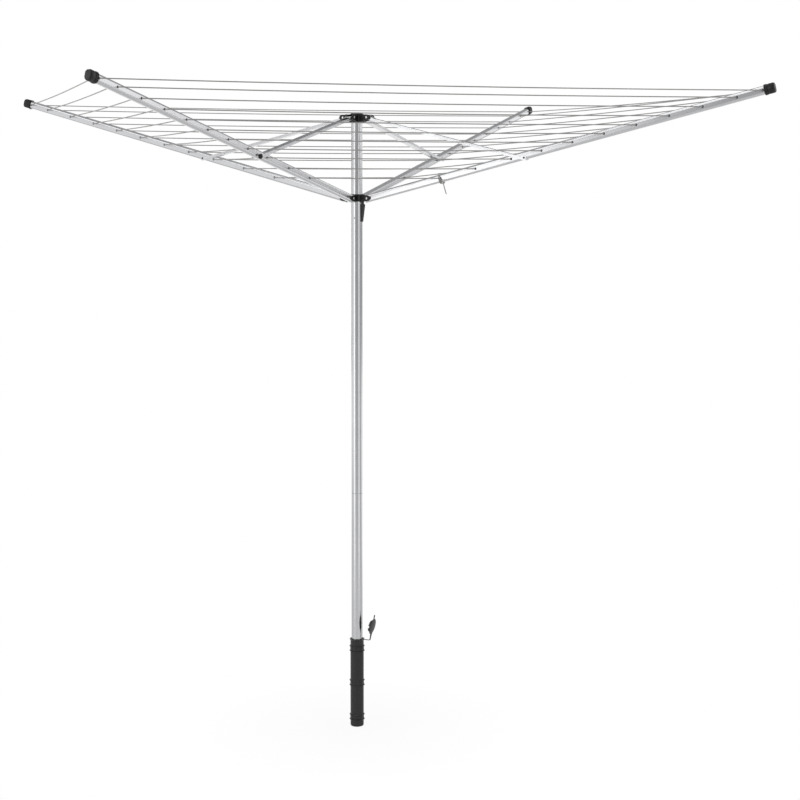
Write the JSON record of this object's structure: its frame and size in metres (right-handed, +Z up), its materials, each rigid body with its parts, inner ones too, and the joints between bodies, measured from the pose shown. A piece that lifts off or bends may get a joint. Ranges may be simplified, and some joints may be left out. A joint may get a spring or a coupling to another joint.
{
  "type": "rotary clothesline",
  "caption": "Folding garden clothes dryer: arms braced by struts open like an umbrella on a pole that turns in a ground tube, strung with a long line.",
  "frame": {"origin": "centre of the ground tube's flat bottom face, which stands on the floor of the hole in the lawn", "axes": "+Z up the pole; the arms point at 45, 135, 225 and 315 degrees from +X, and the clamp lever is under the arm at 315"},
  "size_m": [2.1382, 2.1382, 2.307],
  "materials": {
    "aluminium": "mill-finish extruded tube with fine lengthwise die lines",
    "steel": "bright zinc-plated rivet heads",
    "black_plastic": "moulded, fine satin grain",
    "ground_plastic": "moulded, matt, slightly scuffed",
    "line": "extruded grey PVC sheath over a twisted core"
  },
  "bodies": {
    "ground_socket": {"ground_tube": "ground_plastic", "mouth_bush": "black_plastic"},
    "lid": {"ground_tube_lid": "ground_plastic"},
    "mast": {"pole_upper": "aluminium", "pole_lower": "aluminium", "pole_rivet": "steel", "hub_rivet": "steel", "pole_foot": "black_plastic", "top_hub": "black_plastic", "top_cap": "black_plastic", "hub_pin_1": "steel", "hub_pin_2": "steel", "hub_pin_3": "steel", "hub_pin_4": "steel", "clothesline": "line"},
    "strut_1": {"strut_1": "aluminium", "strut_pin_1": "steel", "pin_knob": "black_plastic"},
    "arm_1": {"arm_1": "aluminium", "arm_cap_1": "black_plastic"},
    "strut_2": {"strut_2": "aluminium", "strut_pin_2": "steel"},
    "arm_2": {"arm_2": "aluminium", "arm_cap_2": "black_plastic", "line_knot": "line", "line_tail": "line"},
    "strut_3": {"strut_3": "aluminium", "strut_pin_3": "steel"},
    "arm_3": {"arm_3": "aluminium", "arm_cap_3": "black_plastic"},
    "strut_4": {"strut_4": "aluminium", "strut_pin_4": "steel"},
    "arm_4": {"arm_4": "aluminium", "arm_cap_4": "black_plastic"},
    "runner": {"runner": "black_plastic", "runner_pin_1": "steel", "runner_pin_2": "steel", "runner_pin_3": "steel", "runner_pin_4": "steel", "lever_pin": "steel"},
    "lever": {"clamp_lever": "black_plastic"}
  },
  "joints": [
    {"name": "mast_spin", "type": "hinge", "parent": "ground_socket", "child": "mast", "pos_m": [0, 0, 0.316], "axis": [0, 0, 1], "continuous": true},
    {"name": "lid_hinge", "type": "hinge", "parent": "ground_socket", "child": "lid", "pos_m": [0.0394, -0.03078, 0.3287], "axis": [-0.6157, -0.788, 0], "range_deg": [-74, 24]},
    {"name": "strut_1_fold", "type": "hinge", "parent": "mast", "child": "strut_1", "pos_m": [-0.03359, -0.03359, 2.216], "axis": [0.7071, -0.7071, 0], "range_deg": [0, 71.16], "deforming": ["clothesline"]},
    {"name": "strut_2_fold", "type": "hinge", "parent": "mast", "child": "strut_2", "pos_m": [0.03359, -0.03359, 2.216], "axis": [0.7071, 0.7071, 0], "range_deg": [0, 71.16]},
    {"name": "strut_3_fold", "type": "hinge", "parent": "mast", "child": "strut_3", "pos_m": [0.03359, 0.03359, 2.216], "axis": [-0.7071, 0.7071, 0], "range_deg": [0, 71.16]},
    {"name": "strut_4_fold", "type": "hinge", "parent": "mast", "child": "strut_4", "pos_m": [-0.03359, 0.03359, 2.216], "axis": [-0.7071, -0.7071, 0], "range_deg": [0, 71.16]},
    {"name": "arm_1_fold", "type": "hinge", "parent": "strut_1", "child": "arm_1", "pos_m": [-0.4605, -0.4605, 2.07498], "axis": [0.7071, -0.7071, 0], "range_deg": [-142.32, 0]},
    {"name": "arm_2_fold", "type": "hinge", "parent": "strut_2", "child": "arm_2", "pos_m": [0.4605, -0.4605, 2.07498], "axis": [0.7071, 0.7071, 0], "range_deg": [-142.32, 0]},
    {"name": "arm_3_fold", "type": "hinge", "parent": "strut_3", "child": "arm_3", "pos_m": [0.4605, 0.4605, 2.07498], "axis": [-0.7071, 0.7071, 0], "range_deg": [-142.32, 0]},
    {"name": "arm_4_fold", "type": "hinge", "parent": "strut_4", "child": "arm_4", "pos_m": [-0.4605, 0.4605, 2.07498], "axis": [-0.7071, -0.7071, 0], "range_deg": [-142.32, 0]},
    {"name": "runner_travel", "type": "hinge", "parent": "arm_1", "child": "runner", "pos_m": [-0.03359, -0.03359, 1.93396], "axis": [0.7071, -0.7071, 0], "range_deg": [0, 71.16]},
    {"name": "lever_hinge", "type": "hinge", "parent": "runner", "child": "lever", "pos_m": [0.01768, -0.01768, 1.90856], "axis": [-0.7071, -0.7071, 0], "range_deg": [0, 80]}
  ],
  "couplings": [
    {"joint": "strut_2_fold", "follows": "strut_1_fold", "ratio": 1},
    {"joint": "strut_3_fold", "follows": "strut_1_fold", "ratio": 1},
    {"joint": "strut_4_fold", "follows": "strut_1_fold", "ratio": 1},
    {"joint": "arm_1_fold", "follows": "strut_1_fold", "ratio": -2},
    {"joint": "arm_2_fold", "follows": "strut_1_fold", "ratio": -2},
    {"joint": "arm_3_fold", "follows": "strut_1_fold", "ratio": -2},
    {"joint": "arm_4_fold", "follows": "strut_1_fold", "ratio": -2},
    {"joint": "runner_travel", "follows": "strut_1_fold", "ratio": 1}
  ]
}
